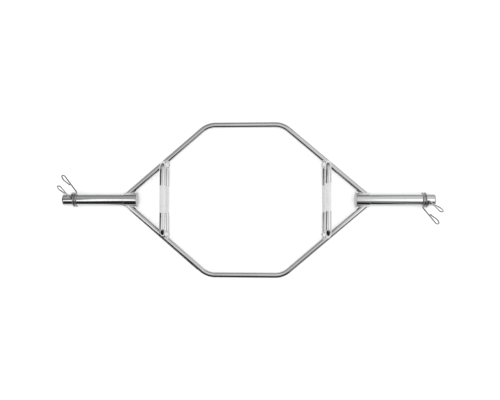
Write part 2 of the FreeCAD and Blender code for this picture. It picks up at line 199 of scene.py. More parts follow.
class TRAPBAR_CollarSizes(PropertyGroup):
    """Sizes of the two spring collars"""

    wire_diameter: length("Wire diameter", "Thickness of the spring wire", 0.0055)
    coil_clearance: length("Coil clearance", "Between a sleeve and the coil", 0.0006)
    coil_pitch: length("Coil pitch", "From one turn of the coil to the next", 0.0093)
    lever_bend: length("Lever bend", "Radius where a lever leaves the coil", 0.007)
    lever_reach: length("Lever reach", "From the axis of a sleeve to the tip of a lever", 0.11998)
    lever_overhang: length("Lever overhang", "How far the levers lean out past the coil", 0.0136)
    tip_bend: length("Loop tip bend", "Radius of the loop at the tip of a lever", 0.0065)
    back_bend: length("Loop back bend", "Radius of the way back from the tip", 0.027)
    loop_gap: length("Loop gap", "Between the end of the wire and its lever", 0.0006)
    left_inset: length("Left inset", "From the left sleeve's end to its coil", 0.040)
    right_inset: length("Right inset", "From the right sleeve's end to its coil", 0.0307)
    spread: degrees("Lever spread", "Between the two levers of a collar", 17.0)
    left_roll: degrees("Left roll", "Lean of the left levers from level", 50.0)
    right_roll: degrees("Right roll", "Lean of the right levers from level", 52.0)
    tip_turn: degrees("Tip turn", "Turned by the wire at a lever's tip", 150.0)
    back_turn: degrees("Back turn", "Turned by the wire behind the tip", 47.0)


class TRAPBAR_Finish(PropertyGroup):
    """Colours and gloss of the plating"""

    plating: colour("Plating", "Colour of the bright plating", (0.57, 0.57, 0.575))
    clouded: colour("Clouded plating", "Colour where the plating is dulled", (0.48, 0.48, 0.485))
    grip: colour("Grip", "Colour of the knurled plating", (0.94, 0.94, 0.945))
    # painted shade: this colour darkens the grips between their diamonds
    knurl_shade: colour("Grime", "Colour between the diamonds of a grip", (0.86, 0.86, 0.855))
    # painted shade: the hub cap colour is darker than the plating, so that the caps reflect darker
    cap: colour("Hub cap", "Colour of the plated hub caps", (0.40, 0.40, 0.405))
    # painted highlight: the weld colour is far lighter than the plating, so that the beads show white
    weld: colour("Weld", "Colour of the plated weld beads", (0.93, 0.93, 0.935))
    wire: colour("Spring wire", "Colour of the plated spring wire", (0.39, 0.39, 0.395))
    rod_gloss: share("Rod roughness", "Roughness of the polished rods", 0.07)
    sleeve_gloss: share("Sleeve roughness", "Roughness of the turned sleeves", 0.08)
    weld_gloss: share("Weld roughness", "Roughness of the plated weld beads", 0.30)
    wire_gloss: share("Wire roughness", "Roughness of the spring wire", 0.12)
    grip_gloss: share("Grip roughness", "Roughness of the knurled grips", 0.30)


class TRAPBAR_Studio(PropertyGroup):
    """Camera, floor and light"""

    camera_place: FloatVectorProperty(name="Camera", description="Place of the camera", size=3,
                                      default=(0.03479, -0.05885, 2.0312), subtype="TRANSLATION")
    camera_turn: FloatVectorProperty(name="Camera turn", description="Turn of the camera from straight down",
                                     default=[math.radians(part) for part in (1.2373, 3.3624, 0.1380)],
                                     size=3, subtype="EULER")
    lens: FloatProperty(name="Lens", description="Focal length in millimetres", default=35.544)
    shift: FloatVectorProperty(name="Shift", description="Lens shift across and up", size=2,
                               default=(0.05091, 0.00749))
    floor: colour("Floor", "Colour of the floor", (0.90, 0.90, 0.90))
    floor_glow: share("Floor glow", "Light that the floor adds to the picture", 0.36)
    room_light: share("Room light", "Light of the white room on the floor", 0.75)
    lamp_power: FloatProperty(name="Lamp power", description="Power of the soft lamp", default=26.0,
                              unit="POWER")
    dome_radius: length("Dome radius", "From the bar to the room that shows in its reflections", 1.8)


class Signal:
    """A node's output socket that can be reckoned with."""

    def __init__(self, graph, socket):
        self.graph = graph
        self.socket = socket

    def reckon(self, operation, first, second):
        """The result of a Math node."""
        return self.graph.add("ShaderNodeMath", {"operation": operation}, {0: first, 1: second})

    def __add__(self, other):
        return self.reckon("ADD", self, other)

    def __radd__(self, other):
        return self.reckon("ADD", other, self)

    def __sub__(self, other):
        return self.reckon("SUBTRACT", self, other)

    def __rsub__(self, other):
        return self.reckon("SUBTRACT", other, self)

    def __mul__(self, other):
        return self.reckon("MULTIPLY", self, other)

    def __rmul__(self, other):
        return self.reckon("MULTIPLY", other, self)

    def __truediv__(self, other):
        return self.reckon("DIVIDE", self, other)

    def __mod__(self, other):
        return self.reckon("FLOORED_MODULO", self, other)


class Graph:
    """A node tree of a material, a world or a shape, filled one node at a time."""

    def __init__(self, tree):
        self.tree = tree
        self.tree.nodes.clear()

    def add(self, kind, settings=None, inputs=None, output=0):
        """Adds a node: its settings first, then the values or links of its sockets."""
        node = self.tree.nodes.new(kind)
        for name, value in (settings or {}).items():
            setattr(node, name, value)
        for name, value in (inputs or {}).items():
            socket = self.find(node.inputs, name)
            if isinstance(value, Signal):
                self.tree.links.new(value.socket, socket)
            else:
                socket.default_value = value
        if not node.outputs:
            return None
        return Signal(self, self.find(node.outputs, output))

    def find(self, sockets, name):
        """A socket by its number, or the first one in use with that name."""
        if isinstance(name, int):
            return sockets[name]
        return next(socket for socket in sockets if socket.enabled and socket.name == name)

    def noise(self, place, scale, detail):
        """Clouds from nothing to one."""
        inputs = {"Vector": place, "Scale": scale, "Detail": detail}
        return self.add("ShaderNodeTexNoise", None, inputs, "Fac")

    def stretched(self, place, scale, turn=(0.0, 0.0, 0.0)):
        """Places turned and scaled, so that a pattern is drawn out."""
        return self.add("ShaderNodeMapping", None, {"Vector": place, "Rotation": turn, "Scale": scale})

    def ramp(self, value, low, high, start=0.0, end=1.0):
        """Takes a value between two limits smoothly to a start and an end."""
        limits = {"Value": value, "From Min": low, "From Max": high, "To Min": start, "To Max": end}
        return self.add("ShaderNodeMapRange", {"interpolation_type": "SMOOTHSTEP"}, limits)

    def blend(self, factor, first, second):
        """A colour between two plain colours."""
        inputs = {"Factor": factor, "A": (*first, 1.0), "B": (*second, 1.0)}
        return self.add("ShaderNodeMix", {"data_type": "RGBA"}, inputs, "Result")

    def moved(self, vector, other):
        """The sum of two vectors."""
        return self.add("ShaderNodeVectorMath", {"operation": "ADD"}, {0: vector, 1: other})

    def scaled(self, vector, factor):
        """A vector times a number."""
        return self.add("ShaderNodeVectorMath", {"operation": "SCALE"}, {"Vector": vector, "Scale": factor})

    def attribute(self, name, kind):
        """A named attribute of the points of a shape."""
        return self.add("GeometryNodeInputNamedAttribute", {"data_type": kind}, {"Name": name}, "Attribute")


def new_finish(name):
    """A fresh material with its graph."""
    material = bpy.data.materials.new(name)
    material.use_nodes = True
    return material, Graph(material.node_tree)


def new_plating(name):
    """The settings of the finishes, a fresh material, its graph and the place on the piece."""
    material, graph = new_finish(name)
    place = graph.add("ShaderNodeTexCoord", None, None, "Object")
    return bpy.context.scene.trap_bar_finish, material, graph, place


def plate(graph, base, roughness, height, bump, metallic=1.0):
    """Ends a graph in polished metal."""
    normal = graph.add("ShaderNodeBump", None, {"Strength": bump, "Distance": BUMP_HEIGHT, "Height": height})
    metal = graph.add("ShaderNodeBsdfPrincipled", None,
                      {"Base Color": base, "Metallic": metallic, "Roughness": roughness, "Normal": normal})
    graph.add("ShaderNodeOutputMaterial", None, {"Surface": metal})


def hairlines(graph, place, scale, stretch, turn):
    """Thin scratches that come and go, one where the metal is scratched."""
    lie = graph.stretched(place, stretch, turn)
    cells = graph.add("ShaderNodeTexVoronoi", {"feature": "DISTANCE_TO_EDGE"},
                      {"Vector": lie, "Scale": scale}, "Distance")
    patchy = graph.ramp(graph.noise(place, scale, 2.0), 0.52, 0.70)
    return graph.ramp(cells, 0.0, 0.02, 1.0, 0.0) * patchy


def plated_rod():
    """Bright plating on bent rod: belt polishing along both directions, clouding and hairlines."""
    finish, material, graph, place = new_plating("plated_rod")
    along = graph.noise(graph.stretched(place, (35.0, 900.0, 900.0)), 1.0, 3.0)
    across = graph.noise(graph.stretched(place, (900.0, 35.0, 900.0)), 1.0, 3.0)
    cloud = graph.noise(place, 11.0, 4.0)
    marks = hairlines(graph, place, 26.0, (1.0, 0.25, 1.0), (0.3, 0.2, 0.7))
    fog = graph.ramp(cloud, 0.45, 0.75)
    base = graph.blend(fog * 0.35 + marks * 0.25, finish.plating, finish.clouded)
    gloss = finish.rod_gloss + fog * 0.05 + marks * 0.08 + along * 0.02
    plate(graph, base, gloss, along * 0.5 + across * 0.5 - marks, 0.05)
    return material


def plated_sleeve():
    """Turned and plated steel: fine rings around the axis, rubbed bands where plates slide, hairlines."""
    finish, material, graph, place = new_plating("plated_sleeve")
    rings = graph.noise(graph.stretched(place, (1400.0, 6.0, 6.0)), 1.0, 3.0)
    bands = graph.ramp(graph.noise(graph.stretched(place, (60.0, 3.0, 3.0)), 1.0, 4.0), 0.50, 0.78)
    cloud = graph.noise(place, 14.0, 3.0)
    marks = hairlines(graph, place, 30.0, (1.0, 0.3, 0.3), (0.1, 0.4, 0.2))
    base = graph.blend(bands * 0.30 + marks * 0.25, finish.plating, finish.clouded)
    gloss = finish.sleeve_gloss + bands * 0.06 + marks * 0.08 + cloud * 0.02
    plate(graph, base, gloss, rings - marks, 0.05)
    return material


def plated_cap():
    """Plated disc coloured darker than the sleeves, a painted shade that stands in for a darker reflection:
    clouding and hairlines.
    """
    finish, material, graph, place = new_plating("plated_cap")
    cloud = graph.noise(place, 40.0, 4.0)
    marks = hairlines(graph, place, 45.0, (0.3, 1.0, 1.0), (0.4, 0.1, 0.3))
    base = graph.blend(cloud * 0.4 + marks * 0.25, finish.cap, finish.clouded)
    plate(graph, base, finish.sleeve_gloss + cloud * 0.08 + marks * 0.08, cloud - marks, 0.05)
    return material


def knurled_grip():
    """Cut and plated diamonds, with painted shade towards their roots between the points and the tops left
    bright.
    """
    finish, material, graph, place = new_plating("knurled_grip")
    wear_and_shade = graph.ramp(graph.noise(place, 45.0, 3.0), 0.42, 0.70)
    grain = graph.noise(place, 900.0, 2.0)
    depth = graph.add("ShaderNodeAttribute", {"attribute_name": "depth"}, None, "Fac")
    # painted shade in the hollows: the grip colour darkens towards the roots of the diamonds, more in random
    # patches that also roughen the grip
    hollow_shade = graph.ramp(depth, 0.0, 0.7, 1.0, 0.0)
    base = graph.blend(hollow_shade * (0.35 + wear_and_shade * 0.3), finish.grip, finish.knurl_shade)
    gloss = finish.grip_gloss + wear_and_shade * 0.06 + grain * 0.06
    plate(graph, base, gloss, grain, 0.15, 0.35)
    return material


def plated_weld():
    """Plated weld metal: rough satin plating whose light colour is a painted highlight, duller in random
    spots of plain plating colour.
    """
    finish, material, graph, place = new_plating("plated_weld")
    spatter = graph.ramp(graph.noise(place, 260.0, 3.0), 0.50, 0.74)
    grain = graph.noise(place, 1100.0, 2.0)
    base = graph.blend(spatter * 0.5, finish.weld, finish.plating)
    plate(graph, base, finish.weld_gloss + spatter * 0.10, grain + spatter, 0.12, 0.4)
    return material


def spring_wire():
    """Drawn and plated spring wire: faint draw lines, clouding and hairlines."""
    finish, material, graph, place = new_plating("spring_wire")
    draw = graph.noise(graph.stretched(place, (700.0, 160.0, 160.0)), 1.0, 3.0)
    cloud = graph.ramp(graph.noise(place, 70.0, 3.0), 0.45, 0.75)
    marks = hairlines(graph, place, 60.0, (1.0, 0.4, 1.0), (0.5, 0.1, 0.9))
    base = graph.blend(cloud * 0.4 + marks * 0.2, finish.wire, finish.clouded)
    plate(graph, base, finish.wire_gloss + cloud * 0.06 + marks * 0.06, draw - marks, 0.06)
    return material


FINISHES = {
    "plated_rod": plated_rod,
    "plated_sleeve": plated_sleeve,
    "plated_cap": plated_cap,
    "knurled_grip": knurled_grip,
    "plated_weld": plated_weld,
    "spring_wire": spring_wire,
}


def finish_named(name):
    """A finish, made the first time it is asked for."""
    return bpy.data.materials.get(name) or FINISHES[name]()


def new_shape_tree(name, inputs):
    """An empty Geometry Nodes tree with named inputs, its graph and its input signals."""
    tree = bpy.data.node_groups.new(name, "GeometryNodeTree")
    tree.interface.new_socket("Geometry", in_out="INPUT", socket_type="NodeSocketGeometry")
    for label, kind in inputs.items():
        tree.interface.new_socket(label, in_out="INPUT", socket_type=f"NodeSocket{kind}")
    tree.interface.new_socket("Geometry", in_out="OUTPUT", socket_type="NodeSocketGeometry")
    graph = Graph(tree)
    entry = tree.nodes.new("NodeGroupInput")
    signals = {socket.name: Signal(graph, socket) for socket in entry.outputs if socket.name}
    return tree, graph, signals


def close_shape_tree(graph, shape, material, smooth):
    """Makes instances real, shades them, sets their finish and ends the tree."""
    shape = graph.add("GeometryNodeRealizeInstances", None, {"Geometry": shape})
    shape = graph.add("GeometryNodeSetShadeSmooth", None, {"Geometry": shape, "Shade Smooth": smooth})
    shape = graph.add("GeometryNodeSetMaterial", None, {"Geometry": shape, "Material": material})
    graph.add("NodeGroupOutput", None, {"Geometry": shape})


def round_bar_tree():
    """A round bar along a line of points that carry its radius."""
    tree, graph, given = new_shape_tree("Round bar", {"Sides": "Int", "Material": "Material"})
    line = graph.add("GeometryNodeMeshToCurve", None, {"Mesh": given["Geometry"]})
    ring = graph.add("GeometryNodeCurvePrimitiveCircle", None, {"Resolution": given["Sides"], "Radius": 1.0})
    girth = graph.attribute("girth", "FLOAT")
    bar = graph.add("GeometryNodeCurveToMesh", None,
                    {"Curve": line, "Profile Curve": ring, "Scale": girth, "Fill Caps": True})
    close_shape_tree(graph, bar, given["Material"], True)
    return tree


def knurl_tree():
    """Rows of four-sided points around a level bar, each row turned by half a point."""
    tree, graph, given = new_shape_tree("Diamond knurl", {
        "Centre": "Vector", "Root Radius": "Float", "Depth": "Float", "Around": "Int", "Rows": "Int",
        "Row Pitch": "Float", "Material": "Material",
    })
    index = graph.add("GeometryNodeInputIndex")
    column = index % given["Around"]
    row = graph.add("ShaderNodeMath", {"operation": "FLOOR"}, {0: index / given["Around"]})
    angle = (column + (row % 2.0) * 0.5) / given["Around"] * math.tau
    across = graph.add("ShaderNodeMath", {"operation": "COSINE"}, {0: angle})
    up = graph.add("ShaderNodeMath", {"operation": "SINE"}, {0: angle})
    along = (row - (given["Rows"] - 1.0) * 0.5) * given["Row Pitch"]
    outward = graph.add("ShaderNodeCombineXYZ", None, {"X": across, "Z": up})
    spot = graph.moved(graph.scaled(outward, given["Root Radius"]), given["Centre"])
    spot = graph.moved(spot, graph.add("ShaderNodeCombineXYZ", None, {"Y": along}))
    count = given["Around"] * given["Rows"]
    spots = graph.add("GeometryNodePoints", None, {"Count": count, "Position": spot})
    point = graph.add("GeometryNodeMeshCone", {"fill_type": "NGON"},
                      {"Vertices": 4, "Radius Top": KNURL_TIP, "Radius Bottom": 1.0, "Depth": given["Depth"]})
    height = graph.add("GeometryNodeInputPosition")
    height = graph.add("ShaderNodeSeparateXYZ", None, {"Vector": height}, "Z")
    point = graph.add("GeometryNodeStoreNamedAttribute", {"data_type": "FLOAT", "domain": "POINT"},
                      {"Geometry": point, "Name": "depth", "Value": height / given["Depth"]})
    turn = graph.add("FunctionNodeAxesToRotation", {"primary_axis": "Z", "secondary_axis": "X"},
                     {"Primary Axis": outward, "Secondary Axis": (0.0, 1.0, 0.0)})
    half_width = given["Root Radius"] / given["Around"] * math.pi
    spread = graph.add("ShaderNodeCombineXYZ", None, {"X": given["Row Pitch"], "Y": half_width, "Z": 1.0})
    points = graph.add("GeometryNodeInstanceOnPoints", None,
                       {"Points": spots, "Instance": point, "Rotation": turn, "Scale": spread})
    close_shape_tree(graph, points, given["Material"], False)
    return tree


def ripple_tree():
    """Overlapping ripples along a welded seam, whose points carry the way out of the corner."""
    tree, graph, given = new_shape_tree("Weld ripples", {
        "Pitch": "Float", "Radius": "Float", "Unevenness": "Float", "Seed": "Int", "Material": "Material",
    })
    line = graph.add("GeometryNodeMeshToCurve", None, {"Mesh": given["Geometry"]})
    line = graph.add("GeometryNodeResampleCurve", {"mode": "LENGTH"},
                     {"Curve": line, "Length": given["Pitch"]})
    outward = graph.attribute("outward", "FLOAT_VECTOR")
    turn = graph.add("FunctionNodeAxesToRotation", {"primary_axis": "X", "secondary_axis": "Z"},
                     {"Primary Axis": graph.add("GeometryNodeInputTangent"), "Secondary Axis": outward})
    uneven = graph.add("FunctionNodeRandomValue", {"data_type": "FLOAT"},
                       {"Min": 1.0 - given["Unevenness"], "Max": 1.0, "Seed": given["Seed"]}, "Value")
    bead = given["Radius"] * uneven
    ripple = graph.add("GeometryNodeMeshUVSphere", None,
                       {"Segments": RIPPLE_SEGMENTS, "Rings": RIPPLE_RINGS, "Radius": 1.0})
    along = given["Pitch"] * RIPPLE_LENGTH
    spread = graph.add("ShaderNodeCombineXYZ", None, {"X": along, "Y": bead, "Z": bead})
    ripples = graph.add("GeometryNodeInstanceOnPoints", None,
                        {"Points": line, "Instance": ripple, "Rotation": turn, "Scale": spread})
    close_shape_tree(graph, ripples, given["Material"], True)
    return tree


SHAPE_TREES = {"Round bar": round_bar_tree, "Diamond knurl": knurl_tree, "Weld ripples": ripple_tree}


def new_object(name, mesh):
    """A new object at the origin."""
    piece = bpy.data.objects.new(name, mesh)
    bpy.context.scene.collection.objects.link(piece)
    return piece


def shaped(piece, tree_name, inputs):
    """Runs a shape tree on an object and keeps the result as its plain mesh."""
    tree = bpy.data.node_groups.get(tree_name) or SHAPE_TREES[tree_name]()
    modifier = piece.modifiers.new(tree_name, "NODES")
    modifier.node_group = tree
    for item in tree.interface.items_tree:
        if item.in_out == "INPUT" and item.name in inputs:
            modifier[item.identifier] = inputs[item.name]
    depsgraph = bpy.context.evaluated_depsgraph_get()
    mesh = bpy.data.meshes.new_from_object(piece.evaluated_get(depsgraph), depsgraph=depsgraph)
    piece.modifiers.remove(modifier)
    mesh.name = piece.name
    piece.data = mesh
    if not mesh.polygons:
        raise RuntimeError(f"{piece.name} came out without faces")
    return piece


def face_out(mesh):
    """Turns the faces of a closed mesh outwards."""
    sheet = bmesh.new()
    sheet.from_mesh(mesh)
    bmesh.ops.recalc_face_normals(sheet, faces=sheet.faces)
    sheet.to_mesh(mesh)
    sheet.free()


def turned_about(points, side):
    """Points of the right side, or the same on the left after half a turn about the middle of the bar."""
    points = np.asarray(points, float)
    return points * (-1.0, -1.0, 1.0) if side in ("left", "front") else points


def placed(points, side):
    """Points that are given from the sleeves' axis, on their side of the bar and at the axis' height."""
    return turned_about(points, side) + (0.0, 0.0, bpy.context.scene.trap_bar_sizes.axis_height)


class Route:
    """The centre line of a bent rod or wire with its radius, laid down run by run."""

    def __init__(self, point, heading, left, girth):
        self.point, self.heading, self.left = (np.array(part, float) for part in (point, heading, left))
        self.points, self.girths = [self.point], [girth]

    def step_to(self, point, girth=None):
        """Adds one point, with the last radius unless another is given."""
        self.point = point
        self.points.append(point)
        self.girths.append(self.girths[-1] if girth is None else girth)

    def run(self, distance, girth=None):
        """Goes straight on, in stations that reach the new radius evenly."""
        count = max(1, math.ceil(distance / STATION))
        start, old = self.point, self.girths[-1]
        new = old if girth is None else girth
        for part in np.arange(1, count + 1) / count:
            self.step_to(start + self.heading * distance * part, old + (new - old) * part)

    def bend(self, radius, angle):
        """Bends to the left by an angle."""
        count = max(2, math.ceil(math.degrees(angle) / BEND_STEP))
        centre, heading, left = self.point + self.left * radius, self.heading, self.left
        for part in angle * np.arange(1, count + 1) / count:
            self.step_to(centre + radius * (heading * math.sin(part) - left * math.cos(part)))
        self.heading = heading * math.cos(angle) + left * math.sin(angle)
        self.left = left * math.cos(angle) - heading * math.sin(angle)

    def blunt(self, amount):
        """Rounds the free end of the wire off."""
        girth = self.girths[-1]
        self.points[-1] = self.points[-1] - self.heading * amount
        for part in BLUNT_PARTS:
            narrowed = BLUNT_TIP + (1.0 - BLUNT_TIP) * math.sqrt(1.0 - part * part)
            self.step_to(self.points[-1] + self.heading * amount / len(BLUNT_PARTS), girth * narrowed)


def line_mesh(name, rows, closed):
    """A mesh of rows of points, each joined in a line or in a loop."""
    edges, first = [], 0
    for row in rows:
        count = len(row)
        joins = count if closed else count - 1
        edges += [(first + number, first + (number + 1) % count) for number in range(joins)]
        first += count
    mesh = bpy.data.meshes.new(name)
    mesh.from_pydata([tuple(point) for row in rows for point in row], edges, [])
    return mesh


def round_bar(name, points, girths, sides, finish):
    """A round bar or wire along points of given radius."""
    mesh = line_mesh(name, [points], False)
    girth = mesh.attributes.new("girth", "FLOAT", "POINT")
    girth.data.foreach_set("value", np.array(girths, np.float32))
    piece = shaped(new_object(name, mesh), "Round bar", {"Sides": sides, "Material": finish_named(finish)})
    face_out(piece.data)
    return piece


def rounded_outline(corners, closed):
    """An outline of axial and radial sizes with its corners rounded by the third number of each."""
    outline = []
    last = len(corners) - 1
    for number, (x, r, rounding) in enumerate(corners):
        here = np.array((x, r))
        if rounding == 0 or (not closed and number in (0, last)):
            outline.append(here)
            continue
        before = np.array(corners[number - 1][:2]) - here
        after = np.array(corners[(number + 1) % len(corners)][:2]) - here
        before, after = before / np.linalg.norm(before), after / np.linalg.norm(after)
        half = math.acos(max(-1.0, min(1.0, before @ after))) / 2
        setback = rounding / math.tan(half)
        middle = (before + after) / np.linalg.norm(before + after)
        centre = here + middle * rounding / math.sin(half)
        first, final = here + before * setback - centre, here + after * setback - centre
        sweep = math.pi - 2 * half
        outline.append(here + before * (setback + rounding * ROUNDING_GUARD))
        for part in np.linspace(0.0, 1.0, CORNER_STEPS):
            weights = math.sin((1 - part) * sweep), math.sin(part * sweep)
            outline.append(centre + (first * weights[0] + final * weights[1]) / math.sin(sweep))
        outline.append(here + after * (setback + rounding * ROUNDING_GUARD))
    return outline


def turned(name, corners, side, finish):
    """A piece turned about the sleeves' axis: a ring, or a plug where its outline starts on the axis."""
    closed = corners[0][1] > 0
    outline = rounded_outline(corners, closed)
    angles = np.arange(TURNED_SIDES) * math.tau / TURNED_SIDES
    shell, rings = bmesh.new(), []
    for x, r in outline:
        spots = [(x, 0.0, 0.0)]
        if r > 0:
            spots = np.column_stack((np.full(TURNED_SIDES, x), r * np.cos(angles), r * np.sin(angles)))
        rings.append([shell.verts.new(spot) for spot in placed(spots, side)])
    for first, second in zip(rings, rings[1:] + (rings[:1] if closed else [])):
        for number in range(TURNED_SIDES):
            following = (number + 1) % TURNED_SIDES
            corner = [first[number % len(first)], first[following % len(first)],
                      second[following % len(second)], second[number % len(second)]]
            shell.faces.new(list(dict.fromkeys(corner)))
    bmesh.ops.recalc_face_normals(shell, faces=shell.faces)
    mesh = bpy.data.meshes.new(name)
    shell.to_mesh(mesh)
    shell.free()
    mesh.shade_smooth()
    mesh.materials.append(finish_named(finish))
    return new_object(name, mesh)


def ripples(name, seams, finish, seed):
    """Weld beads along closed seams, each a row of points with the ways out of their corner."""
    sizes = bpy.context.scene.trap_bar_sizes
    mesh = line_mesh(name, [points for points, _ in seams], True)
    ways = np.concatenate([ways for _, ways in seams]).astype(np.float32)
    mesh.attributes.new("outward", "FLOAT_VECTOR", "POINT").data.foreach_set("vector", ways.ravel())
    return shaped(new_object(name, mesh), "Weld ripples", {
        "Pitch": sizes.weld_pitch, "Radius": sizes.weld_radius, "Unevenness": RIPPLE_UNEVENNESS, "Seed": seed,
        "Material": finish_named(finish),
    })


def fit(piece, body, slot, *nodes):
    """Puts a finished piece on its body in place of its nodes."""
    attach(piece, body)
    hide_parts(*nodes)


def diagonal():
    """Where the centre lines of two diagonals meet on the right, and their angle to the sleeves' axis."""
    sizes = bpy.context.scene.trap_bar_sizes
    apex = HUB_OUTER + sizes.apex_offset
    return apex, math.atan2(sizes.hex_depth / 2, apex - sizes.flat_length / 2)


def handle_end():
    """From the middle of the bar to the end of a low handle's centre line."""
    apex, slope = diagonal()
    return (apex - bpy.context.scene.trap_bar_sizes.handle_offset) * math.tan(slope)


def grip_shift(level, side):
    """How far to the rear of the middle of its handle a grip lies."""
    return getattr(bpy.context.scene.trap_bar_sizes, f"{level}_grip_shift") if side == "right" else 0.0


class TRAPBAR_OT_frame_rods(Operator):
    """Make the two bent rods of the hexagon"""

    bl_idname = "trap_bar.frame_rods"
    bl_label = "Frame rods"

    def execute(self, context):
        sizes = context.scene.trap_bar_sizes
        apex, slope = diagonal()
        heading = np.array((-math.cos(slope), math.sin(slope), 0.0))
        left = np.array((-math.sin(slope), -math.cos(slope), 0.0))
        start = np.array((apex, 0.0, sizes.axis_height)) + heading * sizes.rod_tuck
        setback = sizes.frame_bend * math.tan(slope / 2)
        run = sizes.hex_depth / 2 / math.sin(slope) - sizes.rod_tuck - setback
        route = Route(start, heading, left, sizes.rod_diameter / 2)
        route.run(run)
        route.bend(sizes.frame_bend, slope)
        route.run(sizes.flat_length - 2 * setback)
        route.bend(sizes.frame_bend, slope)
        route.run(run)
        for place in ("rear", "front"):
            points = turned_about(route.points, place)
            piece = round_bar(f"{place}_rod_plated", points, route.girths, ROD_SIDES, "plated_rod")
            fit(piece, "frame", "rod_chrome", f"{place}_frame_rod")
        return {"FINISHED"}


class TRAPBAR_OT_handles(Operator):
    """Make the low and the raised handles"""

    bl_idname = "trap_bar.handles"
    bl_label = "Handles"

    def grip(self, sizes, route, distance, ahead):
        """A straight run with a band turned down to the root of the knurl, some way ahead of its middle."""
        radius, ramp = sizes.rod_diameter / 2, sizes.knurl_depth * KNURL_RAMP
        plain = (distance - sizes.grip_length) / 2 - ramp
        route.run(plain + ahead)
        route.run(ramp, radius - sizes.knurl_depth)
        route.run(sizes.grip_length)
        route.run(ramp, radius)
        route.run(plain - ahead)

    def execute(self, context):
        sizes = context.scene.trap_bar_sizes
        radius, end = sizes.rod_diameter / 2, handle_end()
        leg = end - sizes.leg_inset
        for side in SIDES:
            low = Route((sizes.handle_offset, -end, sizes.axis_height), (0, 1, 0), (-1, 0, 0), radius)
            self.grip(sizes, low, 2 * end, grip_shift("low", side))
            raised = Route((sizes.handle_offset, leg, sizes.axis_height), (0, 0, 1), (0, -1, 0), radius)
            raised.run(sizes.raised_height - sizes.raised_bend)
            raised.bend(sizes.raised_bend, math.pi / 2)
            self.grip(sizes, raised, 2 * (leg - sizes.raised_bend), -grip_shift("raised", side))
            raised.bend(sizes.raised_bend, math.pi / 2)
            raised.run(sizes.raised_height - sizes.raised_bend)
            for level, route in (("low", low), ("raised", raised)):
                points = turned_about(route.points, side)
                piece = round_bar(f"{side}_{level}_handle_plated", points, route.girths, ROD_SIDES,
                                  "plated_rod")
                fit(piece, "frame", "rod_chrome", f"{side}_{level}_handle")
        return {"FINISHED"}


class TRAPBAR_OT_knurling(Operator):
    """Cut the diamond knurl of the four grips"""

    bl_idname = "trap_bar.knurling"
    bl_label = "Knurling"

    def execute(self, context):
        sizes = context.scene.trap_bar_sizes
        root = sizes.rod_diameter / 2 - sizes.knurl_depth
        pitch = math.pi * root / sizes.knurl_around
        rows = int(sizes.grip_length / pitch) - 1
        for side in SIDES:
            for level, rise in (("low", 0.0), ("raised", sizes.raised_height)):
                spot = placed((sizes.handle_offset, grip_shift(level, side), rise), side)
                name = f"{side}_{level}_grip_knurl"
                piece = shaped(new_object(name, bpy.data.meshes.new(name)), "Diamond knurl", {
                    "Centre": tuple(spot), "Root Radius": root * KNURL_SINK, "Depth": sizes.knurl_depth,
                    "Around": sizes.knurl_around, "Rows": rows, "Row Pitch": pitch,
                    "Material": finish_named("knurled_grip"),
                })
                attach(piece, "frame")
        return {"FINISHED"}


class TRAPBAR_OT_sleeves(Operator):
    """Turn the load sleeves, end plugs, hubs and hub caps"""

    bl_idname = "trap_bar.sleeves"
    bl_label = "Sleeves and hubs"

    def execute(self, context):
        sizes = context.scene.trap_bar_sizes
        sleeve, bore, spigot = sizes.sleeve_radius, sizes.sleeve_bore, sizes.spigot_radius
        snug, seat, edge = bore - SNUG_GAP, sizes.hub_bore - SNUG_GAP, EDGE_ROUNDING
        plug_back, cap_back = PLUG_FACE - sizes.plug_depth, HUB_INNER + sizes.cap_depth
        crown_radius = (sizes.cap_crown ** 2 + sizes.cap_radius ** 2) / (2 * sizes.cap_crown)
        rim = HUB_INNER - sizes.cap_rim
        crown = [
            (rim - sizes.cap_crown + crown_radius - math.sqrt(crown_radius ** 2 - r ** 2), r, 0)
            for r in np.linspace(sizes.cap_radius * CROWN_START, 0.0, CROWN_STEPS)
        ]
        outlines = {
            "sleeve": [
                (SPIGOT_END, bore, edge), (SPIGOT_END, spigot, edge), (HUB_OUTER, spigot, edge),
                (HUB_OUTER, sleeve, edge), (PLUG_FACE, sleeve, edge), (PLUG_FACE, bore, edge),
            ],
            "end_plug": [
                (plug_back, 0.0, 0), (plug_back, snug, edge), (PLUG_FACE, snug, edge),
                (PLUG_FACE, sleeve, edge), (SLEEVE_END, sleeve, sizes.plug_rounding), (SLEEVE_END, 0.0, 0),
            ],
            "hub": [
                (HUB_INNER, sizes.hub_bore, edge), (HUB_INNER, sizes.hub_radius, edge),
                (HUB_OUTER - sizes.hub_chamfer, sizes.hub_radius, edge),
                (HUB_OUTER, sizes.hub_radius - sizes.hub_chamfer, edge), (HUB_OUTER, sizes.hub_bore, edge),
            ],
            "hub_cap": [
                (cap_back, 0.0, 0), (cap_back, seat, edge), (HUB_INNER, seat, edge),
                (HUB_INNER, sizes.cap_radius, RIM_ROUNDING), (rim, sizes.cap_radius, RIM_ROUNDING), *crown,
            ],
        }
        for side in SIDES:
            for name, corners in outlines.items():
                # the hub caps get the darker cap plating, which is painted shade
                finish = "plated_cap" if name == "hub_cap" else "plated_sleeve"
                piece = turned(f"{side}_{name}_plated", corners, side, finish)
                fit(piece, "frame", "sleeve_chrome", f"{side}_{name}")
        return {"FINISHED"}


